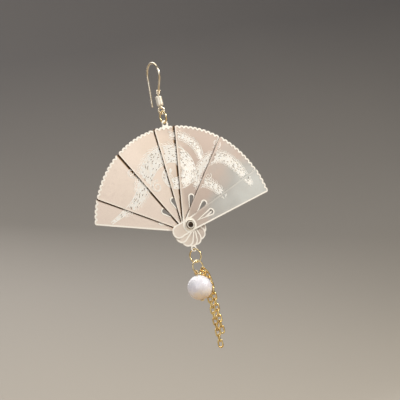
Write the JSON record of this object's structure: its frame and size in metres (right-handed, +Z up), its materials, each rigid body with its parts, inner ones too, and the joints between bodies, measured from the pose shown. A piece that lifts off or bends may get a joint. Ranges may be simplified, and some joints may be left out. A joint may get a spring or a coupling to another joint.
{
  "type": "fan earring",
  "caption": "Drop earring: an ear wire carries a riveted folding fan of thin scalloped metal blades, with a pearl and fine chain strands hanging below it.",
  "frame": {"origin": "the point inside the top of the ear wire's bend, where the ear carries it", "axes": "+Z up, -Y the front that the fan faces, +X to the right as it is looked at from the front"},
  "size_m": [0.0548, 0.0088, 0.081],
  "materials": {
    "hook_gold": "polished pale gold plating",
    "bead_gold": "polished champagne gold plating",
    "ring_gold": "polished gold plating",
    "chain_gold": "polished gold plating",
    "rivet_gold": "polished champagne gold plating",
    "fan_champagne": "satin champagne gold plating, etched",
    "pearl": "pearl lacquer"
  },
  "bodies": {
    "hook": {"ear_hook": "hook_gold", "hook_coil": "hook_gold", "barrel_bead": "bead_gold"},
    "ring": {"hook_ring": "ring_gold"},
    "fan": {"blade_4": "fan_champagne", "rivet": "rivet_gold", "drop_ring": "ring_gold", "drop_eye": "ring_gold", "pearl_pin": "ring_gold", "pearl": "pearl", "chain_left": "chain_gold", "chain_right": "chain_gold"},
    "leaf_1": {"blade_1": "fan_champagne"},
    "leaf_2": {"blade_2": "fan_champagne"},
    "leaf_3": {"blade_3": "fan_champagne"},
    "leaf_5": {"blade_5": "fan_champagne"},
    "leaf_6": {"blade_6": "fan_champagne"},
    "leaf_7": {"blade_7": "fan_champagne"}
  },
  "joints": [
    {"name": "pendant_swing", "type": "hinge", "parent": "hook", "child": "ring", "pos_m": [0, 0, -0.014], "axis": [1, 0, 0], "range_deg": [-60, 60]},
    {"name": "pendant_sway", "type": "hinge", "parent": "ring", "child": "fan", "pos_m": [0, 0, -0.01669], "axis": [0, 1, 0], "range_deg": [-60, 60]},
    {"name": "blade_1_turn", "type": "hinge", "parent": "fan", "child": "leaf_1", "pos_m": [0, 0, -0.04568], "axis": [0, 1, 0], "range_deg": [0, 72.2]},
    {"name": "blade_2_turn", "type": "hinge", "parent": "fan", "child": "leaf_2", "pos_m": [0, 0, -0.04568], "axis": [0, 1, 0], "range_deg": [0, 50.3]},
    {"name": "blade_3_turn", "type": "hinge", "parent": "fan", "child": "leaf_3", "pos_m": [0, 0, -0.04568], "axis": [0, 1, 0], "range_deg": [0, 20.5]},
    {"name": "blade_5_turn", "type": "hinge", "parent": "fan", "child": "leaf_5", "pos_m": [0, 0, -0.04568], "axis": [0, -1, 0], "range_deg": [0, 20.5]},
    {"name": "blade_6_turn", "type": "hinge", "parent": "fan", "child": "leaf_6", "pos_m": [0, 0, -0.04568], "axis": [0, -1, 0], "range_deg": [0, 50.3]},
    {"name": "blade_7_turn", "type": "hinge", "parent": "fan", "child": "leaf_7", "pos_m": [0, 0, -0.04568], "axis": [0, -1, 0], "range_deg": [0, 72.2]}
  ]
}
